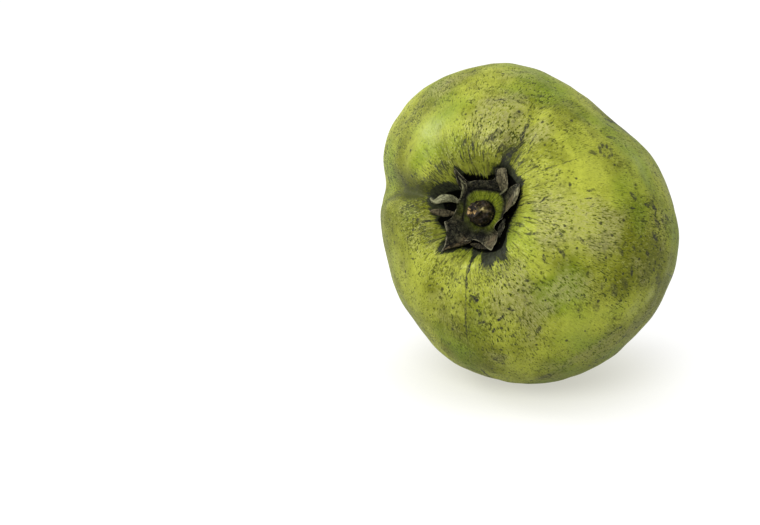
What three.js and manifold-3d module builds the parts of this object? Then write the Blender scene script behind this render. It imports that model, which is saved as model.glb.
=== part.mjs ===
// A whole black sapote, Diospyros nigra: the fruit, its dried calyx and the stub of its stem.
//
// Each piece is shaped in the fruit's own frame. +Z runs out of the fruit along its stem, and
// for someone who looks at the stem end +X is to the right and +Y is up. The fruit then leans
// over, in one group, onto the small flat spot that it rests on.

import * as THREE from 'three';
import { mergeVertices } from 'three/addons/utils/BufferGeometryUtils.js';
import Module from 'manifold-3d';

// Driving dimensions, in millimetres. Angles are in degrees: an azimuth is counted round the
// stem from +X towards +Y, and a polar angle from the stem.

// The body: a round, slightly full ellipsoid before its lobes swell.
const BODY_RADIUS = 39;
const STEM_HALF = 41.5;
const BLOSSOM_HALF = 35;
const FULLNESS = 0.94;
const OFF_STEM = 2.2; // how far the body's middle lies to the right of the stem's line

// Each lobe swells the body outwards round one direction, and fades at an angle, its spread.
const LOBES = [
  { azimuth: 115, polar: 50, height: 17, spread: 30 }, // the upper lobe
  { azimuth: 145, polar: 80, height: 12, spread: 20 }, // its shoulder
  { azimuth: 100, polar: 80, height: 6, spread: 15 }, // its top corner
  { azimuth: 5, polar: 50, height: 18, spread: 40 }, // the large right lobe
  { azimuth: -90, polar: 60, height: 12, spread: 40 }, // the lower lobe
  { azimuth: -170, polar: 60, height: 5, spread: 30 }, // the small left lobe
];

// A furrow between two lobes runs out of the hollow as far as a polar angle, its reach. Its bend
// is the azimuth in radians that it turns through for each radian of polar angle.
const FURROWS = [
  { azimuth: 70, bend: 0.3, depth: 5, width: 4.5, reach: 40 },
  { azimuth: 169, bend: 0, depth: 6, width: 5, reach: 60 },
  { azimuth: -110, bend: 0, depth: 3.5, width: 5, reach: 34 },
  { azimuth: -55, bend: 0, depth: 1.5, width: 7, reach: 40 },
];
const FURROW_START = 30; // polar angle where a furrow has its stated azimuth
const FURROW_FADE = 7; // polar angle over which a furrow runs out
const FURROW_CLEAR = 10; // radius of the hollow's floor, which has no furrows
const FURROW_CLEAR_STEEPNESS = 4;

// The hollow that holds the calyx, and the shallow dimple at the blossom end.
const HOLLOW = { depth: 14, radius: 14.5, steepness: 4 };
const DIMPLE = { depth: 3, radius: 12, steepness: 2 };

// The calyx: a thin leathery plate that lines the hollow. Its four broad lobes end in points,
// and its rim lifts a little off the skin.
const CALYX_THICKNESS = 1;
const CALYX_RADIUS = 10;
const CALYX_LIFT = 0.7;
const CALYX_POINTS = [
  { azimuth: 125, reach: 16.5, breadth: 11 },
  { azimuth: 98, reach: 11, breadth: 14 },
  { azimuth: 70, reach: 16.5, breadth: 12 },
  { azimuth: 33, reach: 18.5, breadth: 11 },
  { azimuth: 12, reach: 12.5, breadth: 14 },
  { azimuth: -22, reach: 7.5, breadth: 14 },
  { azimuth: -60, reach: 14, breadth: 12 },
  { azimuth: -92, reach: 9.5, breadth: 14 },
  { azimuth: -124, reach: 17.5, breadth: 13 },
  { azimuth: -158, reach: 12.5, breadth: 9 },
  { azimuth: 172, reach: 17, breadth: 8 },
];

// The stem stub: a woody knob with a rounded shoulder and a narrower cut tip.
const STUB_RADIUS = 4.4;
const STUB_HEIGHT = 7.4;
const STUB_TIP_RADIUS = 1.9;

// How the fruit lies: where its stem heads and how far that rises, and how deep the rest is.
const STEM_HEADING = 25;
const STEM_RISE = 24;
const REST_DEPTH = 1.2;

const GAP = 0.3; // kept between pieces that touch

// Facets round the stem and from pole to pole.
const FRUIT_FACETS = [64, 42];
const CALYX_FACETS = [56, 16];
const STUB_FACETS = 24;
const POLE_CROWDING = 1.35; // above 1, the fruit's rings crowd towards the stem end

const rad = THREE.MathUtils.degToRad;

const direction = (polar, azimuth) => new THREE.Vector3(
  Math.sin(polar) * Math.cos(azimuth),
  Math.sin(polar) * Math.sin(azimuth),
  Math.cos(polar),
);

const sum = (list, value) => list.reduce((total, item) => total + value(item), 0);

// How far the lobes swell the body in one direction: a rounded bump for each lobe.
const swelling = (towards) => sum(LOBES, (lobe) => {
  const nearness = towards.dot(direction(rad(lobe.polar), rad(lobe.azimuth)));
  return lobe.height * Math.exp((nearness - 1) / rad(lobe.spread) ** 2);
});

// How deep the furrows are at a radius from the stem's axis: each is a rounded channel.
function furrowing(polar, azimuth, radius) {
  const clear = 1 - Math.exp(-((radius / FURROW_CLEAR) ** FURROW_CLEAR_STEEPNESS));
  return clear * sum(FURROWS, (furrow) => {
    const turn = azimuth - rad(furrow.azimuth) - furrow.bend * (polar - rad(FURROW_START));
    const facing = Math.max(0, Math.cos(turn)) ** 2;
    const channel = Math.exp(-((radius * Math.sin(turn) / furrow.width) ** 2));
    const fade = 1 + Math.exp((polar - rad(furrow.reach)) / rad(FURROW_FADE));
    return furrow.depth * facing * channel / fade;
  });
}

const sunken = (pit, radius) => pit.depth * Math.exp(-((radius / pit.radius) ** pit.steepness));

const radiusOf = (point) => Math.hypot(point.x, point.y);

// A point of the skin: the ellipsoid, its lobes, its furrows, and the pits at its two ends.
function skinPoint(polar, azimuth) {
  const stemSide = polar < Math.PI / 2;
  const ring = BODY_RADIUS * Math.sin(polar) ** FULLNESS;
  const height = (stemSide ? STEM_HALF : BLOSSOM_HALF) * Math.cos(polar);
  const point = new THREE.Vector3(ring * Math.cos(azimuth), ring * Math.sin(azimuth), height);
  const outwards = direction(polar, azimuth);
  point.addScaledVector(outwards, swelling(outwards));
  point.x += OFF_STEM * (stemSide ? Math.sin(polar) ** 2 : 1);
  point.addScaledVector(outwards, -furrowing(polar, azimuth, radiusOf(point)));
  const radius = radiusOf(point);
  point.z += stemSide ? -sunken(HOLLOW, radius) : sunken(DIMPLE, radius);
  return point;
}

// The skin point of the stem end at a radius from the stem's axis, found by halving steps.
function stemEndPoint(radius, azimuth) {
  let low = 0;
  let high = Math.PI / 3;
  for (let step = 0; step < 24; step += 1) {
    const middle = (low + high) / 2;
    if (radiusOf(skinPoint(middle, azimuth)) < radius) low = middle;
    else high = middle;
  }
  return skinPoint(low, azimuth);
}

// The skin's outward normal there, from three points a small step apart.
function stemEndNormal(radius, azimuth) {
  const step = 0.4;
  const near = Math.max(radius, step);
  const here = stemEndPoint(near, azimuth);
  const out = stemEndPoint(near + step, azimuth).sub(here);
  const round = stemEndPoint(near, azimuth + step / near).sub(here);
  return out.cross(round).normalize();
}

// A closed sphere of shared vertices, with its poles on Z, whose points are then moved.
function movedSphere([around, along], move) {
  const sphere = new THREE.SphereGeometry(1, around, along).rotateX(Math.PI / 2);
  sphere.deleteAttribute('normal');
  sphere.deleteAttribute('uv');
  const geometry = mergeVertices(sphere);
  const places = geometry.attributes.position;
  for (let i = 0; i < places.count; i += 1) {
    const point = new THREE.Vector3().fromBufferAttribute(places, i);
    const polar = Math.acos(THREE.MathUtils.clamp(point.z, -1, 1));
    const moved = move(polar, Math.atan2(point.y, point.x));
    places.setXYZ(i, moved.x, moved.y, moved.z);
  }
  return geometry;
}

const wasm = await Module();
wasm.setup();

const toSolid = (geometry) => new wasm.Manifold(new wasm.Mesh({
  numProp: 3,
  vertProperties: geometry.attributes.position.array,
  triVerts: new Uint32Array(geometry.index.array),
}));

function toGeometry(solid) {
  const mesh = solid.getMesh();
  const geometry = new THREE.BufferGeometry();
  geometry.setAttribute('position', new THREE.BufferAttribute(mesh.vertProperties, 3));
  geometry.setIndex(new THREE.BufferAttribute(mesh.triVerts, 1));
  return geometry;
}

// How the fruit's own frame stands in the world: the stem heads to the front left and rises.
function lying() {
  const heading = rad(STEM_HEADING);
  const rise = rad(STEM_RISE);
  const stem = new THREE.Vector3(
    -Math.cos(rise) * Math.sin(heading),
    -Math.cos(rise) * Math.cos(heading),
    Math.sin(rise),
  );
  const right = new THREE.Vector3(Math.cos(heading), -Math.sin(heading), 0);
  const up = new THREE.Vector3().crossVectors(stem, right);
  return new THREE.Matrix4().makeBasis(right, up, stem);
}

// The ground, seen from the fruit's own frame, pressed a little way into its lowest point.
function groundUnder(fruit, pose) {
  const reach = 200;
  const lowest = new THREE.Box3().setFromBufferAttribute(
    fruit.clone().applyMatrix4(pose).attributes.position,
  ).min.z;
  const ground = new THREE.BoxGeometry(reach, reach, reach);
  ground.deleteAttribute('normal');
  ground.deleteAttribute('uv');
  ground.translate(0, 0, lowest + REST_DEPTH - reach / 2);
  return mergeVertices(ground).applyMatrix4(pose.clone().invert());
}

function fruitGeometry(pose) {
  const whole = movedSphere(FRUIT_FACETS, (polar, azimuth) => (
    skinPoint(Math.PI * (polar / Math.PI) ** POLE_CROWDING, azimuth)
  ));
  return toGeometry(toSolid(whole).subtract(toSolid(groundUnder(whole, pose))));
}

// The calyx's rim: a small disc with a rounded point towards each of its azimuths.
const calyxReach = (azimuth) => CALYX_RADIUS + sum(CALYX_POINTS, (point) => {
  const turn = azimuth - rad(point.azimuth);
  const away = Math.atan2(Math.sin(turn), Math.cos(turn)) / rad(point.breadth);
  return (point.reach - CALYX_RADIUS) * Math.exp(-(away ** 2));
});

// The upper half of a sphere becomes the calyx's face, and the lower half its back.
function calyxGeometry() {
  return movedSphere(CALYX_FACETS, (polar, azimuth) => {
    const share = Math.sin(polar);
    const radius = share * calyxReach(azimuth);
    const side = Math.sign(Math.cos(polar)) * Math.sqrt(1 - share ** 6);
    const offset = GAP + CALYX_LIFT * share ** 2 + CALYX_THICKNESS * (1 + side) / 2;
    return stemEndPoint(radius, azimuth).addScaledVector(stemEndNormal(radius, azimuth), offset);
  });
}

// The stub is turned round the stem's axis: a flared foot, a bulging knob and a cut tip.
function stubGeometry() {
  const profile = [
    [0, 0],
    [STUB_RADIUS * 0.92, 0],
    [STUB_RADIUS, STUB_HEIGHT * 0.15],
    [STUB_RADIUS * 0.98, STUB_HEIGHT * 0.4],
    [STUB_RADIUS * 0.86, STUB_HEIGHT * 0.6],
    [STUB_RADIUS * 0.66, STUB_HEIGHT * 0.75],
    [STUB_TIP_RADIUS, STUB_HEIGHT * 0.85],
    [STUB_TIP_RADIUS, STUB_HEIGHT],
    [0, STUB_HEIGHT],
  ].map(([radius, height]) => new THREE.Vector2(radius, height));
  return new THREE.LatheGeometry(profile, STUB_FACETS).rotateX(Math.PI / 2);
}

// Materials: waxy green skin, dried brown-black leaf and dark woody stem.
const skin = new THREE.MeshStandardMaterial({ color: 0x86942b, roughness: 0.45, metalness: 0 });
const driedLeaf = new THREE.MeshStandardMaterial({ color: 0x3b3a33, roughness: 0.7, metalness: 0 });
const stemWood = new THREE.MeshStandardMaterial({ color: 0x2b241b, roughness: 0.65, metalness: 0 });

function named(name, geometry, material) {
  const mesh = new THREE.Mesh(geometry, material);
  mesh.name = name;
  return mesh;
}

const pose = lying();
const fruit = named('fruit', fruitGeometry(pose), skin);
const calyx = named('calyx', calyxGeometry(), driedLeaf);
const stub = named('stem_stub', stubGeometry(), stemWood);

// The stub stands on the calyx, clear of its face where that is highest round the stub's foot.
const footHeights = [0, 90, 180, 270].map((azimuth) => stemEndPoint(STUB_RADIUS, rad(azimuth)).z);
stub.position.z = Math.max(...footHeights) + GAP + CALYX_THICKNESS + GAP;

// The origin is on the ground, under the middle of the fruit's box.
const sapote = new THREE.Group();
sapote.add(fruit, calyx, stub);
sapote.quaternion.setFromRotationMatrix(pose);
const box = new THREE.Box3().setFromObject(sapote, true);
const middle = box.getCenter(new THREE.Vector3());
sapote.position.set(-middle.x, -middle.y, -box.min.z);

export default sapote;
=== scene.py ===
import math

import bpy
import numpy as np
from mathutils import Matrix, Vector


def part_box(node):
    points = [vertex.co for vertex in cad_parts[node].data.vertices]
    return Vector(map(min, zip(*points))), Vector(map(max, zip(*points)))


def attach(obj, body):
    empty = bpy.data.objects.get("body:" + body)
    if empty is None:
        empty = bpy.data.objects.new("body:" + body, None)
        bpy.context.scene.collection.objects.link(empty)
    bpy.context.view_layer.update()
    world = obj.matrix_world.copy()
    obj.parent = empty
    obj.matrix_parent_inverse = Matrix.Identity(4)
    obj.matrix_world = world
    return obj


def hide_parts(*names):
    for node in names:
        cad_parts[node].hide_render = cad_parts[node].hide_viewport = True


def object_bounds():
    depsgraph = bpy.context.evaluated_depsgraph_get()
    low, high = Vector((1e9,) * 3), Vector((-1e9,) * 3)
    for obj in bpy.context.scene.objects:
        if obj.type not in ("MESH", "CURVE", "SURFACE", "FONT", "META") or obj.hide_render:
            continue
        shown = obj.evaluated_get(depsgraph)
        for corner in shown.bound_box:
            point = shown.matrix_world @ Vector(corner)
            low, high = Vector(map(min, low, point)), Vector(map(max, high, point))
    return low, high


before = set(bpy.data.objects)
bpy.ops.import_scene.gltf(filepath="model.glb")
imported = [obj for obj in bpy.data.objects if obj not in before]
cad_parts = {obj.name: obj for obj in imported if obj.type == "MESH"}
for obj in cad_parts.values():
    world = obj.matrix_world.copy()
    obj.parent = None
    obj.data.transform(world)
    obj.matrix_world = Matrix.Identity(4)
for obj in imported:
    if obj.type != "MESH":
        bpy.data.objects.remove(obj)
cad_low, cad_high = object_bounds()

# The fruit: one grown body of soft flesh in a thin waxy skin. Four lobes swell round the stem
# end with furrows between them, a hollow holds the calyx, and it lies on a small flat spot.
MM = 0.001
BODY_RADIUS, STEM_HALF, BLOSSOM_HALF = 39 * MM, 41.5 * MM, 35 * MM
FULLNESS = 0.94
OFF_STEM = 2.2 * MM
# Azimuth round the stem from +X, polar angle from the stem, height in mm, spread in degrees.
LOBES = (
    (115, 50, 17, 30),  # the upper lobe
    (145, 80, 12, 20),  # its shoulder
    (100, 80, 6, 15),  # its top corner
    (5, 50, 18, 40),  # the large right lobe
    (-90, 60, 12, 40),  # the lower lobe
    (-170, 60, 5, 30),  # the small left lobe
)
# Azimuth, bend, depth and width in mm, and the polar angle that the furrow reaches.
FURROWS = (
    (70, 0.3, 5, 4.5, 40),
    (169, 0, 6, 5, 60),
    (-110, 0, 3.5, 5, 34),
    (-55, 0, 1.5, 7, 40),
)
FURROW_START, FURROW_FADE, FURROW_CLEAR = math.radians(30), math.radians(7), 10 * MM
HOLLOW_DEPTH, HOLLOW_RADIUS = 14 * MM, 14.5 * MM
DIMPLE_DEPTH, DIMPLE_RADIUS = 3 * MM, 12 * MM
STEM_HEADING, STEM_RISE = math.radians(25), math.radians(24)
FRUIT_ROUND, FRUIT_ALONG = 284, 340
POLE_CROWDING = 1.35
SINES = 9


def towards(polar, azimuth):
    """Unit vectors: the polar angle is counted from +Z, the azimuth round it from +X."""
    ring = np.sin(polar)
    return np.stack([ring * np.cos(azimuth), ring * np.sin(azimuth), np.cos(polar)], -1)


def furrowing(polar, azimuth, radius):
    """Each furrow is a Gaussian channel along a meridian. It starts at the hollow's rim, and
    a logistic curve ends it at the polar angle that it reaches. Gives depth in metres."""
    depth = np.zeros_like(radius)
    for at, bend, deep, wide, reach in FURROWS:
        turn = azimuth - math.radians(at) - bend * (polar - FURROW_START)
        facing = np.maximum(0, np.cos(turn)) ** 2
        channel = np.exp(-((radius * np.sin(turn) / (wide * MM)) ** 2))
        fade = 1 + np.exp((polar - math.radians(reach)) / FURROW_FADE)
        depth += deep * MM * facing * channel / fade
    return depth * (1 - np.exp(-((radius / FURROW_CLEAR) ** 4)))


def skin_points(polar, azimuth):
    """An ellipsoid of rounder section, pushed outwards by one bump for each lobe, with the
    furrows cut in and a pit at each end whose depth falls off with the radius."""
    ring = BODY_RADIUS * np.sin(polar) ** FULLNESS
    stem_side = polar < math.pi / 2
    half = np.where(stem_side, STEM_HALF, BLOSSOM_HALF)
    points = np.stack([ring * np.cos(azimuth), ring * np.sin(azimuth), half * np.cos(polar)], -1)
    out = towards(polar, azimuth)
    swell = np.zeros_like(ring)
    for at, down, height, spread in LOBES:
        nearness = out @ towards(np.radians(down), np.radians(at))
        swell += height * MM * np.exp((nearness - 1) / math.radians(spread) ** 2)
    points += out * swell[..., None]
    points[..., 0] += OFF_STEM * np.where(stem_side, np.sin(polar) ** 2, 1)
    radius = np.hypot(points[..., 0], points[..., 1])
    points -= out * furrowing(polar, azimuth, radius)[..., None]
    radius = np.hypot(points[..., 0], points[..., 1])
    hollow = HOLLOW_DEPTH * np.exp(-((radius / HOLLOW_RADIUS) ** 4))
    dimple = DIMPLE_DEPTH * np.exp(-((radius / DIMPLE_RADIUS) ** 2))
    points[..., 2] += np.where(stem_side, -hollow, dimple)
    return points


def uneven(points, scale, seed):
    """Smooth, seamless unevenness between about -1 and 1: a mean of sines of different
    directions and phases, whose wavelengths are near the scale."""
    draw = np.random.default_rng(seed)
    total = np.zeros(points.shape[:-1])
    for _ in range(SINES):
        way = draw.normal(size=3)
        way *= 2 * math.pi / (scale * draw.uniform(0.7, 1.5) * np.linalg.norm(way))
        total += np.sin(points @ way + draw.uniform(0, 2 * math.pi))
    return total / math.sqrt(SINES)


def lying_axes():
    """Rows are the fruit's own X, Y and Z axes: Z is the stem's direction, X is level and at
    right angles to it, and Y completes them."""
    stem = np.array([
        -math.cos(STEM_RISE) * math.sin(STEM_HEADING),
        -math.cos(STEM_RISE) * math.cos(STEM_HEADING),
        math.sin(STEM_RISE),
    ])
    right = np.array([math.cos(STEM_HEADING), -math.sin(STEM_HEADING), 0.0])
    return np.stack([right, np.cross(stem, right), stem])


def shell(rings):
    """Points and faces of a closed surface from rings of points: quads between neighbouring
    rings, and a fan at each end, round the mean of the first and the last ring. The faces are
    turned round if the volume that they enclose comes out negative."""
    count, around = rings.shape[:2]
    points = per_point(rings)
    place = 1 + np.arange((count - 2) * around).reshape(count - 2, around)
    after = np.roll(place, -1, axis=1)
    quads = np.stack([place[:-1], place[1:], after[1:], after[:-1]], -1).reshape(-1, 4)
    first = np.stack([np.zeros(around, int), place[0], after[0]], -1)
    last = np.stack([np.full(around, len(points) - 1), after[-1], place[-1]], -1)
    corners = [points[quads[:, k]] for k in range(4)]
    spans = np.cross(corners[2] - corners[0], corners[3] - corners[1])
    if (sum(corners) / 4 * spans).sum() < 0:
        quads, first, last = quads[:, ::-1], first[:, ::-1], last[:, ::-1]
    return points, first.tolist() + quads.tolist() + last.tolist()


def per_point(rings):
    """Values of a shell's points, in their order, from values on its rings."""
    inner = rings[1:-1].reshape(-1, *rings.shape[2:])
    return np.concatenate([rings[:1].mean(1), inner, rings[-1:].mean(1)])


def add_piece(name, shells, node):
    """One object from closed shells, which rides on the fruit's body and stands for a node."""
    points, faces, start = [], [], 0
    for own_points, own_faces in shells:
        points.append(own_points)
        faces += [[start + corner for corner in face] for face in own_faces]
        start += len(own_points)
    mesh = bpy.data.meshes.new(name)
    mesh.from_pydata(np.concatenate(points).tolist(), [], faces)
    mesh.polygons.foreach_set("use_smooth", np.ones(len(mesh.polygons), bool))
    piece = bpy.data.objects.new(name, mesh)
    bpy.context.scene.collection.objects.link(piece)
    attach(piece, "root")
    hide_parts(node)
    return piece


def store(piece, name, values):
    """Keeps one number or one vector a point on the mesh, for its material to read."""
    kind, key = ("FLOAT", "value") if values.ndim == 1 else ("FLOAT_VECTOR", "vector")
    attribute = piece.data.attributes.new(name, kind, "POINT")
    attribute.data.foreach_set(key, values.astype(np.float32).ravel())


share = np.linspace(0, 1, FRUIT_ALONG)
polar = (math.pi * share**POLE_CROWDING)[:, None] * np.ones(FRUIT_ROUND)
azimuth = np.linspace(0, 2 * math.pi, FRUIT_ROUND, endpoint=False) * np.ones((FRUIT_ALONG, 1))
smooth = skin_points(polar, azimuth)
out = towards(polar, azimuth)
radius = np.hypot(smooth[..., 0], smooth[..., 1])
stem_side = polar < math.pi / 2
# Pleats run into the hollow, and slow unevenness lies over the whole skin.
rim = np.exp(-(((radius - 18 * MM) / (8 * MM)) ** 2)) * stem_side
pleats = np.sin(23 * azimuth + 1) + np.sin(37 * azimuth + 2) + 0.7 * np.sin(61 * azimuth)
relief = 0.12 * MM * pleats * rim
relief += 0.30 * MM * uneven(smooth, 0.024, 3) + 0.12 * MM * uneven(smooth, 0.009, 4)
relief *= 1 - np.exp(-((radius / 0.002) ** 2))
own = smooth + out * relief[..., None]

AXES = lying_axes()
placed = own @ AXES
box_low, box_high = (np.array(corner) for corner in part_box("fruit"))
SHIFT = (box_low + box_high - placed.min((0, 1)) - placed.max((0, 1))) / 2
SHIFT[2] = box_high[2] - placed[..., 2].max()
placed = placed + SHIFT
placed[..., 2] = np.maximum(placed[..., 2], 0)
fruit = add_piece("fruit_skin", [shell(placed)], "fruit")
meridian = np.stack([np.cos(azimuth), np.sin(azimuth), polar], -1)
store(fruit, "meridian", per_point(meridian))


def skin_at(azimuth, polar):
    """The skin point at an azimuth and a polar angle in degrees, in the fruit's own frame."""
    return skin_points(np.array(math.radians(polar)), np.array(math.radians(azimuth)))


def patches(marks):
    """Soft round patches: each adds its strength times a Gaussian of the distance from it. A
    patch is its azimuth and polar angle in degrees, its size in mm, and its strength."""
    total = np.zeros(smooth.shape[:-1])
    for at, down, size, strength in marks:
        distance = np.linalg.norm(smooth - skin_at(at, down), axis=-1)
        total += strength * np.exp(-((distance / (size * MM)) ** 2))
    return total


# Where the skin is olive, veiled in grey-tan, fresh and clear, lush green, thick with dots, or grimy.
# Painted light lies in some of them: a painted highlight among the fresh places on the upper left, and
# painted shade with the grime and in some olive places.
OLIVE = (
    # The brownish right side, and the band that runs from it below the middle.
    (8, 53, 11, 0.8), (-5, 64, 9, 0.8), (-15, 50, 7, 1.0), (-24, 55, 5, 0.7),
    (-38, 32, 9, 0.9), (-24, 39, 8, 0.5), (-21, 28, 5, 0.5),
    # The left furrow and its flank, darker partly as painted shade.
    (166, 23, 4, 1.0), (168, 34, 5, 1.0), (165, 43, 6, 0.9), (152, 43, 6, 0.6), (180, 60, 12, 0.8),
    # The brown slope above the calyx, partly painted shade under the hollow's rim, and the top furrow
    # out to the saddle.
    (94, 16, 5, 0.9), (107, 21, 4, 0.6), (126, 17, 4, 0.5), (75, 26, 5, 0.9), (90, 38, 7, 0.4),
    (74, 46, 8, 0.6), (67, 50, 7, 1.0), (59, 69, 9, 0.6),
    # Low on the left, olive and partly painted shade.
    (-89, 57, 12, 0.8), (-74, 42, 8, 0.5),
    # The back and the blossom end.
    (95, 150, 20, 0.6), (-120, 120, 16, 0.5),
)
VEIL = (
    # Both sides of the top furrow, and the crest of the upper lobe.
    (84, 32, 8, 1.0), (80, 24, 5, 0.8), (63, 32, 5, 0.6), (92, 56, 6, 0.6), (122, 49, 6, 0.5),
    # The large tan patch of the right side, and smaller ones towards the hollow.
    (2, 39, 9, 1.0), (6, 24, 4.5, 1.0), (-8, 26, 4, 0.8),
    # Below the calyx and down the middle.
    (-48, 25, 5, 0.9), (-61, 27, 5, 0.7), (-84, 25, 4, 0.4), (-40, 38, 10, 0.45), (-60, 42, 7, 0.5),
    # Low down.
    (-41, 70, 8, 0.7), (-54, 65, 7, 0.6), (-80, 54, 5, 0.5),
    # The back and the blossom end.
    (150, 110, 14, 0.8), (30, 120, 16, 0.8), (-80, 140, 14, 0.7),
)
FRESH_AND_HIGHLIT = (
    # The clear patch low on the right, and the strip of smaller ones beside it.
    (-42, 47, 5.5, 1.0), (-46, 55, 6, 0.8), (-31, 54, 4.5, 1.0), (-25, 64, 3.5, 0.9),
    (-18, 69, 2.5, 0.8),
    # The lime crown of the large lobe.
    (28, 38, 8, 0.8), (18, 46, 6, 0.6), (30, 59, 6, 0.6),
    # The shining upper left, lighter partly as a painted highlight.
    (124, 32, 7, 0.8), (140, 31, 7, 1.0), (154, 22, 4, 0.7),
    # Lime skin beside the hollow.
    (-6, 16, 4, 0.8), (-34, 28, 4, 0.8), (-84, 17, 3, 0.8), (-97, 23, 5, 1.0),
    # The back.
    (120, 100, 12, 0.8), (-20, 110, 12, 0.8),
)
DOTS = (
    (-74, 39, 10, 1.0), (-104, 33, 9, 1.0), (6, 60, 9, 1.0), (138, 44, 7, 0.9), (102, 24, 6, 0.7),
    (78, 47, 5, 0.6), (-23, 50, 6, 0.8), (-25, 56, 4, 0.8), (44, 32, 5, 0.5), (76, 33, 5, 0.8),
    (160, 56, 9, 0.8), (-168, 26, 7, 0.9), (-150, 24, 6, 0.8), (178, 36, 7, 0.7),
    (60, 110, 12, 0.7), (-150, 100, 14, 0.7),
)
GRIME_AND_SHADE = (
    (160, 21, 4, 1.0), (168, 27, 4, 1.1), (172, 33, 4, 1.0), (169, 39, 4, 0.8), (174, 46, 5, 0.7),
    (148, 19, 3.5, 0.8), (136, 18, 2.5, 0.6), (120, 17, 2, 0.4), (-176, 24, 4, 0.7), (-160, 19, 3, 0.6),
    (-150, 20, 3, 0.5), (66, 21, 3, 0.9), (64, 25, 3, 0.6), (74, 22, 2.5, 0.6), (54, 19, 3, 0.6),
    (-58, 22, 3.5, 0.7), (-72, 22, 3, 0.6), (-90, 22, 3, 0.5), (-104, 24, 4, 0.7), (-44, 21, 3, 0.5),
)
LUSH = (
    (40, 62, 9, 1.0), (30, 60, 8, 1.0), (20, 62, 8, 0.9), (22, 48, 5, 0.6), (10, 68, 8, 0.8),
    (74, 54, 7, 0.9), (-30, 56, 5, 0.4), (60, 50, 6, 0.6), (50, 56, 7, 0.7), (158, 52, 9, 0.9),
    (170, 52, 8, 0.6), (-86, 64, 9, 0.5), (0, 84, 12, 0.6), (88, 62, 8, 0.6), (-96, 50, 8, 0.4),
)
zones = {
    "olive": OLIVE, "veil": VEIL, "fresh_and_highlit": FRESH_AND_HIGHLIT, "lush": LUSH, "dots": DOTS, "grime_and_shade": GRIME_AND_SHADE,
}
for name, marks in zones.items():
    store(fruit, name, per_point(patches(marks)))

# Dark staining and painted shade fill the hollow out to an edge, given as azimuth in degrees and radius
# in mm.
STAIN_AND_SHADE_EDGE = (
    (-180, 18.0), (-146, 13.4), (-136, 15.2), (-130, 19.5), (-121, 18.0), (-116, 13.6),
    (-100, 12.6), (-90, 15.2), (-86, 18.6), (-82, 14.4), (-76, 15.0), (-72, 20.5), (-64, 21.0),
    (-57, 19.2), (-50, 20.8), (-44, 19.6), (-30, 12.9), (-16, 11.8), (0, 12.2), (35, 20.6),
    (43, 18.6), (66, 20.0), (87, 12.7), (116, 13.4), (124, 17.0), (137, 13.6), (166, 20.8),
    (174, 20.6), (180, 18.0),
)
# Inside this second edge, near the calyx and under its lobes, the crevices are black painted shade.
CREVICE_SHADE_EDGE = (
    (-180, 13.4), (-163, 14.6), (-150, 12.4), (-136, 12.0), (-124, 14.6), (-114, 12.0),
    (-97, 11.4), (-46, 15.0), (-26, 10.8), (-14, 10.2), (0, 10.8), (28, 17.0), (60, 15.6),
    (92, 11.6), (120, 13.6), (140, 11.0), (160, 14.8), (170, 15.0), (180, 13.4),
)
signed = np.degrees(np.arctan2(np.sin(azimuth), np.cos(azimuth)))


def edge_radius(edge):
    """The radius of an edge at the azimuth of each point, straight between its listed places."""
    at, reach = np.array(edge, float).T
    return np.interp(signed, at, reach) * MM


soft = (0.7 + 1.0 * np.exp(-(((signed + 70) / 15) ** 2))) * MM
store(fruit, "stain_and_shade", per_point(stem_side / (1 + np.exp((radius - edge_radius(STAIN_AND_SHADE_EDGE)) / soft))))
crevice_shade_share = np.clip((edge_radius(CREVICE_SHADE_EDGE) - radius) / (1.2 * MM) + 0.5, 0, 1)
store(fruit, "crevice_shade", per_point(stem_side * crevice_shade_share))


def tone(red, green, blue):
    """A colour from its red, green and blue bytes, with the usual display curve undone."""
    share = np.array([red, green, blue]) / 255
    linear = np.where(share < 0.04045, share / 12.92, ((share + 0.055) / 1.055) ** 2.4)
    return (*linear.tolist(), 1)


def feed(tree, socket, value):
    """Links a socket to another, or sets the value that it has of its own."""
    if isinstance(value, bpy.types.NodeSocket):
        tree.links.new(value, socket)
    else:
        socket.default_value = value


def put(tree, kind, settings=(), **inputs):
    """A new node with its settings, and its inputs fed by name."""
    made = tree.nodes.new("ShaderNode" + kind)
    for name, value in dict(settings).items():
        setattr(made, name, value)
    for name, value in inputs.items():
        feed(tree, made.inputs[name], value)
    return made


def math_of(tree, operation, *values, clamp=False):
    """The result of a Math node."""
    made = put(tree, "Math", {"operation": operation, "use_clamp": clamp})
    for socket, value in zip(made.inputs, values):
        feed(tree, socket, value)
    return made.outputs[0]


def vector_of(tree, operation, *values):
    """The outputs of a Vector Math node."""
    made = put(tree, "VectorMath", {"operation": operation})
    for socket, value in zip(made.inputs, values):
        feed(tree, socket, value)
    return made.outputs


def arithmetic(tree):
    """Two short forms for one tree: times multiplies values together, and plus adds them up."""

    def chain(operation, values):
        """The values joined from the left by one operation."""
        result = values[0]
        for value in values[1:]:
            result = math_of(tree, operation, result, value)
        return result

    return (lambda *values: chain("MULTIPLY", values)), (lambda *values: chain("ADD", values))


def step(tree, value, low, high):
    """A smooth step from 0 at low to 1 at high, which falls instead where low is the larger."""
    made = put(tree, "MapRange", {"interpolation_type": "SMOOTHSTEP"}, Value=value)
    feed(tree, made.inputs["From Min"], low)
    feed(tree, made.inputs["From Max"], high)
    return made.outputs[0]


def mixed(tree, share, first, second):
    """Two colours mixed by a share."""
    made = put(tree, "Mix", {"data_type": "RGBA"})
    feed(tree, made.inputs["Factor"], share)
    for socket, value in zip(made.inputs[6:8], (first, second)):
        feed(tree, socket, value)
    return made.outputs[2]


def blend(tree, share, first, second):
    """Two values mixed by a share."""
    made = put(tree, "Mix")
    for socket, value in zip((made.inputs[0], *made.inputs[2:4]), (share, first, second)):
        feed(tree, socket, value)
    return made.outputs[0]


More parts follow.
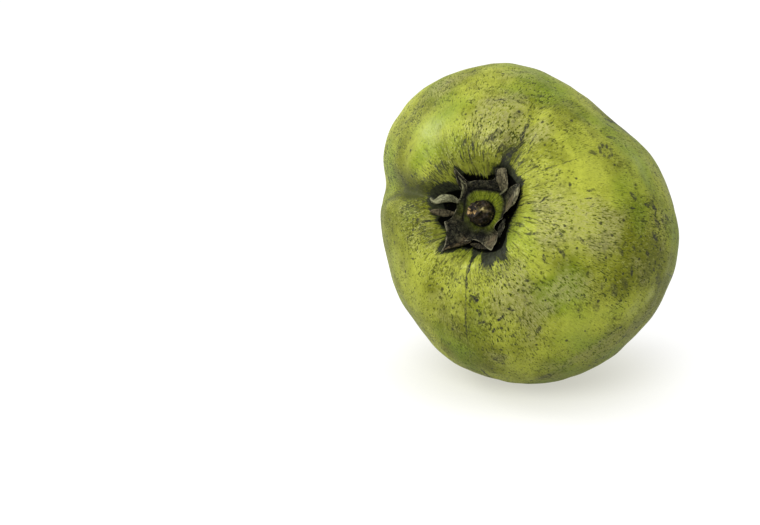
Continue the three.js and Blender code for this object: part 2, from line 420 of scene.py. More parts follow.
def noise(tree, where, scale, detail=3, roughness=0.55):
    """Cloudy noise between about 0.2 and 0.8. The scale counts its cells in a unit."""
    made = put(tree, "TexNoise", Vector=where, Scale=scale, Detail=detail, Roughness=roughness)
    return made.outputs[0]


def read(tree, name, output="Fac"):
    """The values of a mesh's attribute."""
    made = put(tree, "Attribute", {"attribute_name": name})
    return made.outputs[output]


VECTOR_SOCKETS = ("Vector", "Centre", "Lengthwise", "Across")


def new_group(name, inputs, outputs):
    """An empty node group with named sockets. Gives its tree, input node and output node."""
    tree = bpy.data.node_groups.new(name, "ShaderNodeTree")
    for socket in inputs:
        kind = "NodeSocketVector" if socket in VECTOR_SOCKETS else "NodeSocketFloat"
        tree.interface.new_socket(socket, in_out="INPUT", socket_type=kind)
    for socket in outputs:
        tree.interface.new_socket(socket, in_out="OUTPUT", socket_type="NodeSocketFloat")
    return tree, tree.nodes.new("NodeGroupInput").outputs, tree.nodes.new("NodeGroupOutput").inputs


def use(tree, group, **inputs):
    """A node group placed in a material. Gives its outputs."""
    made = tree.nodes.new("ShaderNodeGroup")
    made.node_tree = group
    for name, value in inputs.items():
        feed(tree, made.inputs[name], value)
    return made.outputs


def build_streaks():
    """Streaks along a direction: noise whose cells are drawn out in Z, cut off by a step
    between Low and High. Around and Along count the cells in a unit of XY and of Z."""
    tree, given, result = new_group(
        "streaks", ("Vector", "Around", "Along", "Low", "High"), ("Mask", "Grain")
    )
    counts = put(tree, "CombineXYZ", X=given["Around"], Y=given["Around"], Z=given["Along"])
    drawn = vector_of(tree, "MULTIPLY", given["Vector"], counts.outputs[0])
    grain = noise(tree, drawn[0], 1, detail=4, roughness=0.6)
    feed(tree, result["Grain"], grain)
    feed(tree, result["Mask"], step(tree, grain, given["Low"], given["High"]))
    return tree


def build_flow():
    """Fine grain drawn out along the meridians. Each of three noises, of rising counts round
    the stem, has its own band of the angle from the nearer end, so the cells stay as wide."""
    tree, given, result = new_group("flow", ("Vector", "Along", "Seed"), ("Grain",))
    polar = put(tree, "SeparateXYZ", Vector=given["Vector"]).outputs["Z"]
    from_side = math_of(tree, "ABSOLUTE", math_of(tree, "SUBTRACT", polar, math.pi / 2))
    band = math_of(tree, "SUBTRACT", math.pi / 2, from_side)
    grain = None
    for around, low, high in ((20, 0, 0), (44, 0.20, 0.34), (98, 0.48, 0.72)):
        counts = put(tree, "CombineXYZ", X=around, Y=around, Z=given["Along"])
        drawn = vector_of(tree, "MULTIPLY_ADD", given["Vector"], counts.outputs[0], given["Seed"])
        cells = noise(tree, drawn[0], 1, detail=2, roughness=0.6)
        if grain is None:
            grain = cells
        else:
            grain = blend(tree, step(tree, band, low, high), grain, cells)
    feed(tree, result["Grain"], grain)
    return tree


def build_specks():
    """Round specks: one may lie in each cell of a scattered pattern. Size is the largest
    radius as a share of a cell, and Share is how many of the cells hold a speck."""
    tree, given, result = new_group("specks", ("Vector", "Scale", "Size", "Share"), ("Mask",))
    cells = put(tree, "TexVoronoi", Vector=given["Vector"], Scale=given["Scale"])
    chance = put(tree, "SeparateColor", Color=cells.outputs["Color"]).outputs
    held = math_of(tree, "LESS_THAN", chance[0], given["Share"])
    size = math_of(tree, "MULTIPLY", math_of(tree, "MULTIPLY", given["Size"], held), chance[1])
    mask = math_of(tree, "DIVIDE", cells.outputs["Distance"], math_of(tree, "ADD", size, 1e-4))
    feed(tree, result["Mask"], step(tree, mask, 1.0, 0.5))
    return tree


def build_dash():
    """One spot or scratch: an ellipse about Centre. The Lengthwise and Across vectors are as long
    as one over its half length and its half width."""
    tree, given, result = new_group("dash", ("Vector", "Centre", "Lengthwise", "Across"), ("Mask",))
    offset = vector_of(tree, "SUBTRACT", given["Vector"], given["Centre"])[0]
    squares = []
    for way in ("Lengthwise", "Across"):
        measured = vector_of(tree, "DOT_PRODUCT", offset, given[way])["Value"]
        squares.append(math_of(tree, "POWER", measured, 2))
    feed(tree, result["Mask"], step(tree, math_of(tree, "ADD", *squares), 1.3, 0.4))
    return tree


STREAKS, FLOW, SPECKS, DASH = build_streaks(), build_flow(), build_specks(), build_dash()


def new_material(name):
    """A material with its tree and its Principled node."""
    made = bpy.data.materials.new(name)
    made.use_nodes = True
    tree = made.node_tree
    return made, tree, tree.nodes["Principled BSDF"].inputs


# Single specks, spots and scratches: the azimuth and polar angle of both ends in degrees, the
# width in mm, and how dark it is.
MARKS = (
    # Specks and smudges of the right side.
    (18, 36, 18, 38, 0.9, 0.9), (14, 35, 14, 37, 0.7, 0.9), (17, 50, 15, 52, 1.6, 0.9),
    (14, 59, 12, 61, 2.0, 0.9), (8, 61, 6, 63, 2.2, 0.9), (3, 60, 1, 62, 1.8, 0.9),
    (11, 67, 10, 69, 1.6, 0.8), (13, 56, 13, 58, 1.2, 0.8), (9, 64, 8, 66, 1.4, 0.8),
    (-7, 34, -9, 36, 1.5, 0.7), (-17, 30, -19, 32, 1.6, 0.8), (-25, 27, -27, 28, 1.2, 1.0),
    (-6, 47, -8, 49, 1.4, 0.7), (44, 52, 43, 54, 1.2, 0.7), (42, 54, 41, 55, 1.0, 0.7),
    (-11, 69, -13, 72, 3.0, 0.6), (-30, 49, -32, 51, 3.0, 0.5), (-21, 51, -23, 53, 2.8, 0.6),
    (-17, 53, -19, 55, 2.6, 0.6), (-35, 46, -37, 47, 2.0, 0.5), (-22, 47, -24, 48, 1.6, 0.6),
    (55, 62, 53, 70, 1.9, 0.9), (50, 70, 49, 74, 2.0, 0.8), (38, 42, 37, 43, 2.2, 0.7),
    (51, 58, 49, 60, 1.0, 0.9), (48, 60, 47, 62, 1.0, 0.8), (44, 53, 43, 56, 1.3, 0.8),
    (-4, 52, -5, 53, 1.2, 0.9), (-4, 58, -5, 59, 1.5, 0.9), (-12, 54, -14, 55, 1.3, 0.9),
    (11, 50, 11, 51, 0.8, 0.9), (-1, 61, -1, 62, 0.9, 0.9), (-9, 64, -9, 65, 0.8, 0.9),
    # The top and the upper left.
    (79, 34, 78, 36, 2.2, 0.45), (92, 37, 90, 38, 1.2, 0.9),
    (86, 23, 83, 25, 2.4, 0.7), (84, 25, 82, 26, 1.8, 0.7), (108, 20, 106, 22, 1.2, 0.8),
    (90, 20, 89, 22, 1.2, 0.7), (90, 41, 90, 43, 1.2, 0.6), (73, 42, 71, 44, 1.6, 0.6),
    (92, 56, 90, 59, 2.6, 0.5), (82, 39, 80, 40, 1.6, 0.6), (78, 46, 77, 48, 1.8, 0.5),
    # Lower left.
    (-81, 28, -83, 30, 1.8, 1.0), (-86, 28, -82, 29, 0.8, 0.9), (-78, 33, -78, 34, 1.0, 0.9),
    (-82, 34, -82, 35, 1.0, 0.9), (-69, 36, -72, 37, 1.1, 1.0), (-80, 37, -83, 38, 1.2, 1.0),
    (-76, 40, -77, 41, 1.2, 1.0), (-68, 43, -68, 44, 1.2, 1.0), (-64, 34, -62, 35, 1.1, 0.9),
    (-55, 44, -57, 45, 1.5, 0.8), (-77, 52, -81, 54, 3.4, 0.5), (-66, 68, -70, 70, 2.8, 0.6),
    # The winding stain in the top furrow.
    (69, 18, 69, 22, 3.0, 1.0), (70, 22, 67, 25, 2.6, 0.9), (66, 25, 67, 28, 1.5, 0.9),
    (69, 28, 71, 31, 1.5, 1.0), (71, 31, 72, 35, 1.5, 0.9),
    (58, 20, 60, 24, 1.2, 0.8), (50, 19, 52, 22, 0.9, 0.8), (54, 24, 57, 27, 0.7, 0.8),
    # Scratches and cracks that run from the hollow.
    (13, 13, 12, 21, 0.5, 1.0), (12, 21, 16, 24, 0.6, 0.9), (-2, 16, -2, 19, 0.6, 0.9),
    (-2, 20, -3, 22, 0.5, 0.8), (-13, 10, -11, 20, 0.5, 1.0), (-17, 19, -12, 23, 1.2, 0.6),
    (-85, 13, -86, 17, 1.2, 1.0), (-86, 17, -88, 21, 1.2, 1.0), (-88, 21, -89, 26, 1.1, 1.0),
    (-89, 26, -92, 46, 0.8, 0.8), (-66, 14, -67, 20, 3.4, 0.75),
    (36, 24, 36, 30, 0.7, 0.7), (36, 31, 36, 36, 0.7, 0.7), (59, 27, 62, 32, 0.7, 0.8),
    (77, 18, 77, 23, 0.7, 0.8), (88, 15, 88, 20, 0.8, 0.7), (98, 16, 100, 21, 0.9, 0.7),
    (103, 14, 104, 20, 0.7, 0.8), (112, 15, 113, 19, 0.6, 0.8), (136, 15, 133, 20, 0.7, 0.8),
    (143, 15, 140, 21, 0.7, 0.8), (-163, 14, -163, 20, 0.6, 0.9), (-140, 16, -142, 21, 0.7, 0.8),
)
# The ring of dark smudges on the upper right of the large lobe.
RING_MIDDLE, RING_SIZE, RING_SPOTS = (37, 47), (3.0, 2.2), 8
RING_SPOT_WIDTH, RING_DARKNESS = 1.3 * MM, 0.75


def mark_vectors(first, second, width):
    """The centre of a mark and its two measuring vectors, in the frame, from its two ends in
    degrees and its width in metres. Across is at right angles to it and to the skin."""
    ends = np.stack([skin_at(*first), skin_at(*second)])
    middle = ends.mean(0)
    length = np.linalg.norm(ends[1] - ends[0])
    along = (ends[1] - ends[0]) / length
    out = middle / np.linalg.norm(middle)
    across = np.cross(out, along)
    across /= np.linalg.norm(across)
    return middle @ AXES + SHIFT, along @ AXES * 2 / (length + width), across @ AXES * 2 / width


def add_marks(tree, where):
    """The darkest of all marks at each point."""
    marks = [((a, b), (c, d), width * MM, dark) for a, b, c, d, width, dark in MARKS]
    for turn in np.linspace(0, 2 * math.pi, RING_SPOTS, endpoint=False):
        at = RING_MIDDLE[0] + RING_SIZE[0] * math.cos(turn)
        down = RING_MIDDLE[1] + RING_SIZE[1] * math.sin(turn)
        ends = (at - 0.5, down), (at + 0.5, down + 0.5)
        marks.append((*ends, RING_SPOT_WIDTH, RING_DARKNESS))
    darkest = 0.0
    for first, second, width, dark in marks:
        centre, along, across = mark_vectors(first, second, width)
        mask = use(tree, DASH, Vector=where, Centre=centre, Lengthwise=along, Across=across)["Mask"]
        darkest = math_of(tree, "MAXIMUM", darkest, math_of(tree, "MULTIPLY", mask, dark))
    return darkest


def skin_material():
    """Lime to olive mottling under fine dark and pale dashes that follow the meridians, with a grey-tan
    veil, dark clouds, specks, single marks, streaks into the hollow, the stain with painted shade,
    black painted shade in the crevices, and painted shade in the furrows and on the slope into the
    hollow."""
    made, tree, surface = new_material("waxy skin")
    where = put(tree, "TexCoord").outputs["Object"]
    meridian = read(tree, "meridian", "Vector")
    stain_and_shade, veil, fresh_and_highlit = read(tree, "stain_and_shade"), read(tree, "veil"), read(tree, "fresh_and_highlit")
    olive, dots = read(tree, "olive"), read(tree, "dots")

    times, plus = arithmetic(tree)

    def paint(share, red, green, blue):
        """The colour so far, painted over with another by a share."""
        return mixed(tree, share, colour, tone(red, green, blue))

    slow, medium = noise(tree, where, 42, 3, 0.6), noise(tree, where, 150, 4, 0.6)
    fine = noise(tree, where, 800, 3, 0.7)
    flow = use(tree, FLOW, Vector=meridian, Along=38, Seed=0.0)["Grain"]
    other_flow = use(tree, FLOW, Vector=meridian, Along=50, Seed=7.3)["Grain"]
    meridian_height = put(tree, "SeparateXYZ", Vector=meridian).outputs["Z"]
    close = step(tree, meridian_height, 0.62, 0.22)

    # Lime to olive, with greener clouds.
    body = plus(slow, times(medium, 0.5), times(olive, 0.20), times(fresh_and_highlit, -0.2))
    colour = mixed(tree, step(tree, body, 0.60, 0.98), tone(188, 195, 70), tone(114, 119, 16))
    green = step(tree, plus(noise(tree, where, 33, 2), times(read(tree, "lush"), 0.16)), 0.50, 0.72)
    colour = paint(times(green, 0.6), 128, 156, 26)
    # The veil over its zones.
    veiled = plus(times(veil, 0.5), noise(tree, where, 90, 3, 0.6), times(fresh_and_highlit, -0.3))
    veiled = step(tree, veiled, 0.50, 0.80)
    veiled = times(veiled, step(tree, plus(flow, times(fine, 0.5)), 0.60, 0.86))
    colour = paint(times(veiled, 0.58), 180, 176, 118)
    # Bruises, greener or greyer.
    greyed = step(tree, plus(veil, times(plus(medium, -0.5), 1.5)), 0.0, 0.7)
    bruise = plus(noise(tree, where, 95, 4, 0.65), times(dots, 0.03), times(fresh_and_highlit, -0.06))
    bruise = times(step(tree, bruise, 0.52, 0.66), step(tree, plus(other_flow, fine), 1.15, 0.85))
    bruised = mixed(tree, greyed, tone(98, 101, 24), tone(116, 114, 82))
    colour = mixed(tree, times(bruise, 0.6), colour, bruised)
    # Fine dashes, dark and pale.
    rough_skin = plus(0.85, times(dots, 0.5), times(veil, 0.3), times(olive, 0.2), times(fresh_and_highlit, -0.6))
    pale = step(tree, plus(other_flow, times(fine, 0.25)), 0.66, 0.80)
    paler = plus(0.20, times(veil, 0.16), times(close, 0.3))
    colour = paint(times(pale, paler, rough_skin), 212, 214, 136)
    dark = step(tree, plus(flow, times(fine, 0.3)), 0.61, 0.50)
    colour = paint(times(dark, 0.85, rough_skin), 66, 74, 20)
    # Dark clouds of small bits.
    cloud = plus(noise(tree, where, 260, 4, 0.65), times(dots, 0.045), times(fresh_and_highlit, -0.05))
    cloud = times(step(tree, cloud, 0.57, 0.66), step(tree, plus(other_flow, fine), 1.06, 0.90))
    clouded = mixed(tree, greyed, tone(54, 59, 14), tone(68, 70, 54))
    colour = mixed(tree, times(cloud, 0.8), colour, clouded)
    # Specks.
    specks = use(tree, SPECKS, Vector=where, Scale=520, Size=0.42, Share=plus(0.10, times(dots, 0.35)))
    colour = paint(times(specks["Mask"], 0.85), 44, 46, 30)
    lightened = put(tree, "VectorMath", {"operation": "SCALE"})
    feed(tree, lightened.inputs[0], colour)
    grain = plus(times(plus(fine, -0.5), 0.9), times(plus(medium, -0.5), 0.5))
    feed(tree, lightened.inputs["Scale"], math_of(tree, "POWER", 2.0, grain))
    colour = lightened.outputs[0]
    # A duller slope into the hollow, olive and partly painted shade, with dark and brown streaks.
    colour = paint(times(step(tree, meridian_height, 0.36, 0.20), 0.45), 104, 112, 34)
    streak = use(tree, STREAKS, Vector=meridian, Around=15, Along=7, Low=0.54, High=0.64)["Mask"]
    colour = paint(times(streak, close, 0.55), 92, 88, 46)
    streak = use(tree, STREAKS, Vector=meridian, Around=27, Along=11, Low=0.56, High=0.64)["Mask"]
    colour = paint(times(streak, close, 0.8), 48, 52, 22)
    # Grime and painted shade in the furrows and at the hollow's rim, in streaks.
    grimy_and_shaded = plus(times(plus(flow, -0.5), 1.1), times(plus(fine, -0.5), 0.7))
    grimy_and_shaded = plus(times(read(tree, "grime_and_shade"), 0.30), grimy_and_shaded)
    grimy_and_shaded = step(tree, grimy_and_shaded, 0.10, 0.34)
    colour = paint(times(grimy_and_shaded, 0.8), 40, 45, 16)
    # Single marks, shaken out of shape and broken up.
    jitter = put(tree, "TexNoise", Vector=where, Scale=700).outputs["Color"]
    moved = vector_of(tree, "ADD", where, (-0.0006, -0.0006, -0.0006))[0]
    shaky = vector_of(tree, "MULTIPLY_ADD", jitter, (0.0012, 0.0012, 0.0012), moved)[0]
    broken = plus(0.5, times(step(tree, plus(fine, times(other_flow, 0.5)), 0.82, 0.70), 0.5))
    colour = paint(times(add_marks(tree, shaky), broken), 40, 41, 34)
    # The stain, partly painted shade, with a ragged edge of streaks, and black painted shade in the
    # crevices under the calyx.
    ragged = plus(times(plus(flow, -0.5), 1.4), times(plus(fine, -0.5), 0.5))
    ragged = plus(times(plus(streak, -0.3), 0.35), ragged)
    stained_and_shaded = step(tree, plus(stain_and_shade, ragged, times(plus(medium, -0.5), 0.5)), 0.40, 0.72)
    shade_and_stain_dark = mixed(tree, step(tree, plus(fine, flow), 0.85, 1.15), tone(20, 23, 14), tone(50, 54, 34))
    # Near black painted shade in the crevices under the calyx's lobes, with less gloss.
    crevice_shade = step(tree, plus(times(read(tree, "crevice_shade"), 1.4), times(plus(fine, flow, -1.0), 0.9)), 0.2, 0.8)
    shade_and_stain_dark = mixed(tree, crevice_shade, shade_and_stain_dark, tone(6, 6, 5))
    colour = mixed(tree, stained_and_shaded, colour, shade_and_stain_dark)
    feed(tree, surface["Base Color"], colour)
    feed(tree, surface["Specular IOR Level"], plus(0.19, times(crevice_shade, -0.18)))
    smoothness = math_of(tree, "MINIMUM", fresh_and_highlit, 1.0)
    rough = plus(0.55, times(smoothness, -0.25), times(dark, 0.10), times(veiled, 0.10))
    feed(tree, surface["Roughness"], rough)
    height = plus(times(flow, 0.8), times(fine, 0.35), times(streak, close, -0.5), times(stained_and_shaded, -0.3))
    bump = put(tree, "Bump", Height=height, Distance=0.00025, Strength=0.6)
    feed(tree, surface["Normal"], bump.outputs[0])
    return made


fruit.data.materials.append(skin_material())

# The calyx: a dried leathery leaf plate in the hollow, in four lobes whose corners curl up.
# A green disc, where the lobes join, is raised round the foot of the stem.
CALYX_THICKNESS = 0.6 * MM
CALYX_GAP = 0.3 * MM
# Its outline clockwise from the tip of the left spike: X, Y and the lift off the skin, in mm.
CALYX_OUTLINE = (
    (-8.7, 12.5, 1.0), (-6.8, 11.1, 1.4), (-5.4, 10.1, 1.0), (-2.5, 10.8, 0.8), (0.7, 11.3, 0.8),
    (3.0, 12.2, 1.0), (4.1, 14.6, 1.0), (6.1, 15.3, 0.8), (8.1, 14.6, 1.0), (9.0, 11.7, 1.5),
    (8.4, 9.4, 1.0), (8.9, 8.3, 0.6), (11.6, 9.0, 1.0), (15.4, 9.9, 0.8), (14.6, 7.1, 2.5),
    (14.1, 4.6, 3.4), (13.2, 2.9, 3.6), (11.0, 1.7, 3.5), (8.9, 0.7, 3.0), (8.2, -0.6, 2.5),
    (7.0, -1.7, 2.3), (6.0, -3.0, 2.1), (5.7, -4.5, 2.0), (7.6, -6.4, 2.0), (7.8, -8.3, 1.9),
    (7.7, -10.3, 1.8), (7.0, -12.1, 1.4),
    (3.2, -10.5, 1.8), (1.0, -9.3, 2.0), (-1.4, -8.6, 2.0), (-3.0, -9.3, 2.2), (-4.9, -9.6, 2.4),
    (-6.5, -10.8, 2.4), (-7.9, -12.3, 2.0), (-9.8, -14.6, 1.0), (-9.6, -12.7, 1.2),
    (-9.8, -9.8, 1.6), (-10.3, -7.4, 1.8), (-11.7, -4.7, 1.6), (-11.3, -3.5, 1.0),
    (-10.8, -1.6, 0.6), (-11.0, 1.9, 0.5), (-10.2, 3.9, 1.0), (-8.7, 5.4, 1.5), (-7.3, 7.2, 1.6),
    (-7.3, 8.9, 1.6), (-7.8, 10.4, 1.4),
)
DISC_CENTRE, DISC_RADIUS = (0.2 * MM, 0.9 * MM), 7.0 * MM
STEM_CENTRE, RIM_RADIUS, WELL_RADIUS = (0.1 * MM, 0.4 * MM), 4.9 * MM, 4.35 * MM
PLATE_RINGS, CURL_ALONG, CURL_ROUND = 96, 40, 36


def cubic(u, here, after, slope, next_slope):
    """The cubic from here to after with the given slopes at its ends, at shares u of the way."""
    curve = (2 * u**3 - 3 * u**2 + 1) * here + (u**3 - 2 * u**2 + u) * slope
    return curve + (3 * u**2 - 2 * u**3) * after + (u**3 - u**2) * next_slope


def smooth_loop(corners, per_span):
    """A closed curve through the corners: between two of them a cubic, whose slope at each is
    half the step between that corner's neighbours."""
    corners = np.array(corners, float)
    before, after, next_after = (np.roll(corners, by, axis=0) for by in (1, -1, -2))
    u = np.linspace(0, 1, per_span, endpoint=False)[:, None, None]
    along = cubic(u, corners, after, (after - before) / 2, (next_after - corners) / 2)
    return along.transpose(1, 0, 2).reshape(-1, corners.shape[1])


def skin_under(x, y):
    """Height of the stem end's skin at X and Y: the polar angle is found by scaling it again
    and again by how far the radius is off."""
    azimuth, radius = np.arctan2(y, x), np.hypot(x, y) + 1e-6
    polar = radius / (45 * MM)
    for _ in range(12):
        points = skin_points(polar, azimuth)
        reached = np.hypot(points[..., 0], points[..., 1])
        polar = polar * np.clip(radius / np.maximum(reached, 1e-6), 0.5, 2)
    return points[..., 2]


def skin_normals(x, y):
    """Unit normals of the stem end's skin, from its slopes over a small step."""
    small = 0.2 * MM
    slope_x = (skin_under(x + small, y) - skin_under(x - small, y)) / (2 * small)
    slope_y = (skin_under(x, y + small) - skin_under(x, y - small)) / (2 * small)
    normals = np.stack([-slope_x, -slope_y, np.ones_like(x)], -1)
    return normals / np.linalg.norm(normals, axis=-1, keepdims=True)


def leaf_plate():
    """Rings from the middle of the face out to the outline, and back under it. The lift grows
    as a power of the share of the way out. The disc is a low dome, round but squarish, with a
    groove about it and a beaded rim round the stem."""
    outline = smooth_loop(CALYX_OUTLINE, 8) * MM
    turn = np.linspace(0, math.pi, PLATE_RINGS)[:, None]
    way = np.sin(turn)
    x, y = way * outline[:, 0], way * outline[:, 1]
    radius = np.hypot(x, y)
    side = np.where(turn < math.pi / 2, 1, -1) * np.sqrt(1 - way**8)
    over = (abs(x - DISC_CENTRE[0]) ** 3 + abs(y - DISC_CENTRE[1]) ** 3) ** (1 / 3)
    dome = 1 / (1 + np.exp((over - DISC_RADIUS) / (0.3 * MM)))
    groove = np.exp(-(((over - DISC_RADIUS - 0.8 * MM) / (0.6 * MM)) ** 2))
    round_stem = np.hypot(x - STEM_CENTRE[0], y - STEM_CENTRE[1])
    rim = np.exp(-(((round_stem - RIM_RADIUS) / (0.35 * MM)) ** 2))
    well = 1 / (1 + np.exp((round_stem - WELL_RADIUS) / (0.12 * MM)))
    disc_relief = MM * (0.7 * dome - 0.6 * groove + 0.2 * rim - 0.7 * well)
    lift = CALYX_GAP + outline[:, 2] * way**3 + disc_relief
    around = np.arctan2(y, x)
    out = np.clip((radius - 6 * MM) / (6 * MM), 0, 1)
    lift = lift + out * MM * (0.14 * np.sin(31 * around) + 0.12 * np.sin(17 * around + 4 * way))
    lift = lift + out * 0.3 * MM * uneven(np.stack([x, y, 0 * x], -1), 3.2 * MM, 8)
    where = np.stack([x, y, skin_under(x, y) + lift], -1)
    where += skin_normals(x, y) * (CALYX_THICKNESS * (1 + side) / 2)[..., None]
    worn = np.clip((way - 0.965) / 0.035, 0, 1) * np.ones_like(x)
    worn = worn * (1 - np.exp(-((np.hypot(x - 0.5 * MM, y - 12 * MM) / (5 * MM)) ** 2)))
    # Painted shade: black in the well round the stem, and in the groove round the disc above its lower
    # side.
    shade_and_stain_dark = np.maximum(well, groove * (y > -3 * MM))
    faded = 1 / (1 + np.exp((y + 4.4 * MM) / (0.5 * MM)))
    faded = faded + 1 / (1 + np.exp((x + 5.6 * MM) / (0.6 * MM)))
    return where, {"worn": worn, "green": dome * (1 - well) * (1 - 0.8 * faded), "shade_and_stain_dark": shade_and_stain_dark}


def open_spine(corners, count):
    """A curve through the corners, as in smooth_loop, that stops at the first and the last."""
    corners = np.array(corners, float)
    first, last = 2 * corners[:1] - corners[1:2], 2 * corners[-1:] - corners[-2:-1]
    padded = np.concatenate([first, corners, last])
    place = np.linspace(0, len(corners) - 1, count)
    index = np.minimum(place.astype(int), len(corners) - 2)
    u = (place - index)[:, None]
    before, here, after, next_after = (padded[index + k] for k in range(4))
    return cubic(u, here, after, (after - before) / 2, (next_after - here) / 2)


def curl(corners, bow, lean=0):
    """A curled strip of leaf along a spine. Each corner gives X, Y, the lift off the skin and
    the half width in mm. Across the spine the strip is an arc that turns through the angle
    bow, arched if it is positive and a trough if it is negative, and lean tips it over."""
    spine = open_spine(corners, CURL_ALONG) * MM
    x, y = spine[:, 0], spine[:, 1]
    middle = np.stack([x, y, skin_under(x, y) + spine[:, 2]], -1)
    ahead = np.gradient(middle, axis=0)
    ahead /= np.linalg.norm(ahead, axis=-1, keepdims=True)
    up = skin_normals(x, y)
    side = np.cross(ahead, up)
    side /= np.linalg.norm(side, axis=-1, keepdims=True)
    up = np.cross(side, ahead)
    tip = math.radians(lean)
    side, up = side * math.cos(tip) + up * math.sin(tip), up * math.cos(tip) - side * math.sin(tip)
    angle = math.radians(bow)
    ends = np.sin(np.pi * np.linspace(0.02, 0.98, CURL_ALONG)) ** 0.35
    arc_radius = (spine[:, 3] * ends / abs(math.sin(min(abs(angle), math.pi) / 2)))[:, None]
    loop = np.linspace(0, 2 * math.pi, CURL_ROUND, endpoint=False)
    place = np.cos(loop)
    half = 0.5 * CALYX_THICKNESS * np.sin(loop) * np.sqrt(1 - 0.5 * place**2)
    bent = abs(angle) / 2 * place
    sign = math.copysign(1, bow)
    reach = arc_radius + sign * half * ends[:, None]
    sideways = reach * np.sin(bent)
    upwards = sign * (reach * np.cos(bent) - arc_radius)
    rings = middle[:, None] + side[:, None] * sideways[..., None] + up[:, None] * upwards[..., None]
    fan = np.stack(np.broadcast_arrays(place, 1, np.linspace(0, 0.8, CURL_ALONG)[:, None]), -1)
    worn = np.clip((abs(place) - 0.85) / 0.15, 0, 1) * np.ones((CURL_ALONG, 1))
    return rings, {"worn": worn}, fan * (0.08, 1, 1)


# Curled pieces: the corners, the bow, the lean, how pale and how warm in colour.
CURLS = (
    # The veined flap at the right end of the top lobe.
    ([(5.9, 8.0, 2.9, 1.2), (6.9, 10.2, 3.4, 2.6), (6.9, 12.6, 3.4, 2.3), (6.3, 15.0, 2.4, 2.4)],
     -60, -28, 0.65, 0.6),
    # The thin pale edge that runs below the flap.
    ([(10.0, 8.6, 3.2, 0.15), (8.2, 8.2, 3.3, 0.28), (6.6, 7.6, 3.2, 0.24), (5.0, 7.1, 2.6, 0.15)],
     150, 0, 1.3, 0.2),
    # The pinched spike at its left end.
    ([(-6.9, 7.6, 1.4, 1.5), (-7.6, 10.0, 1.6, 1.2), (-8.9, 12.8, 1.4, 0.5)], -150, 0, 0.1, 0.2),
    # The pale roll of the left lobe.
    ([(-9.6, 3.2, 1.4, 0.8), (-12.0, 3.6, 2.2, 1.5), (-14.2, 3.2, 2.2, 1.4), (-16.8, 2.2, 1.6, 0.7),
      (-18.4, 3.2, 1.3, 0.5)], 200, 0, 1.3, 0.1),
    # The smaller roll under it.
    ([(-10.6, -0.2, 1.3, 0.8), (-12.6, -0.5, 2.0, 1.3), (-14.8, -1.0, 1.6, 1.0),
      (-16.6, -1.6, 1.2, 0.5)], 190, 0, 0.5, 0.8),
    # The outward roll of the right lobe's edge.
    ([(15.2, 9.4, 1.4, 0.3), (14.7, 7.2, 2.8, 0.8), (13.8, 4.4, 3.7, 0.7), (12.6, 2.8, 3.7, 0.4)],
     200, -30, 0.85, 0.4),
    # The strip that hangs down between the right lobe and the lower one.
    ([(8.6, -0.6, 1.7, 0.6), (7.5, -2.6, 1.3, 1.1), (6.9, -4.4, 1.1, 1.1), (7.3, -7.0, 0.9, 0.7)],
     90, 10, -0.05, 0.0),
    # Two thin pale edges beside the spike.
    ([(-8.1, 10.9, 1.9, 0.12), (-7.1, 9.4, 2.4, 0.2), (-6.0, 8.8, 2.3, 0.12)], 150, 0, 0.9, 0.2),
    ([(-7.6, 9.2, 2.1, 0.12), (-7.2, 7.7, 2.5, 0.25), (-7.8, 6.1, 2.4, 0.25), (-9.1, 4.0, 1.9, 0.12)],
     150, 0, 0.8, 0.2),
    # The lower lobe's rolled edge.
    ([(-9.4, -13.8, 1.3, 0.3), (-7.4, -11.8, 2.3, 0.5), (-5.0, -9.9, 2.7, 0.7),
      (-2.6, -9.0, 2.4, 0.5)], 200, 30, 0.4, 1.8),
    # The underside of the lower lobe's middle.
    ([(-3.4, -9.8, 1.0, 0.6), (0.2, -10.2, 1.2, 0.9), (4.2, -11.2, 1.3, 0.5)], 120, 0, 0.15, 0.8),
)
plate, plate_marks = leaf_plate()
calyx_rings, calyx_marks, calyx_fans = [plate], [plate_marks], []
plate_turn = np.arctan2(plate[..., 1], plate[..., 0])
calyx_fans.append(np.stack([
    np.cos(plate_turn), np.sin(plate_turn), np.hypot(plate[..., 0], plate[..., 1]) / MM / 20
], -1))
# Painted shade in the hollows of the plate's face: X, Y and size in mm, and strength.
FACE_PAINTED_SHADE = (
    (-5.5, 0.5, 3.0, 0.55), (-4.6, -4.4, 3.0, 0.8), (0.5, -6.4, 2.6, 0.8), (5.0, -4.8, 1.6, 0.5),
    (-10.0, 0.5, 2.2, 0.7), (-7.5, 4.5, 1.8, 0.5),
)
# Pale and warm patches: X, Y and size in mm, how pale and how warm.
FACE_PATCHES = (
    (12.5, 4.8, 2.6, 0.60, 0.9), (8.6, 4.2, 1.6, 0.65, 0.8), (8.5, 2.3, 1.4, 0.9, 0.5),
    (10.2, 2.4, 1.8, 0.70, 0.5), (4.6, -8.6, 2.8, 0.85, 0.9),
    (6.4, -6.6, 1.5, 0.35, 0.6), (-5.0, -9.2, 1.7, 0.60, 1.3), (-8.6, -1.0, 2.2, 0.05, 1.0),
    (0.5, 10.6, 5.0, 0.10, 0.0), (7.3, -10.5, 1.2, 0.4, 0.6), (-4.8, -4.6, 1.2, 0.35, 0.0),
)
# The green of the disc spreads over part of the plate: X, Y and size in mm, and strength.
FACE_GREEN = ((-8.8, 0.8, 2.2, 0.4), (-5.0, -4.0, 2.0, 0.15), (7.2, 4.0, 1.6, 0.4))


def near_on_face(x, y, size):
    """A Gaussian of the distance from a place on the plate, with place and size in mm."""
    away = np.hypot(plate[..., 0] - x * MM, plate[..., 1] - y * MM)
    return np.exp(-((away / (size * MM)) ** 2))


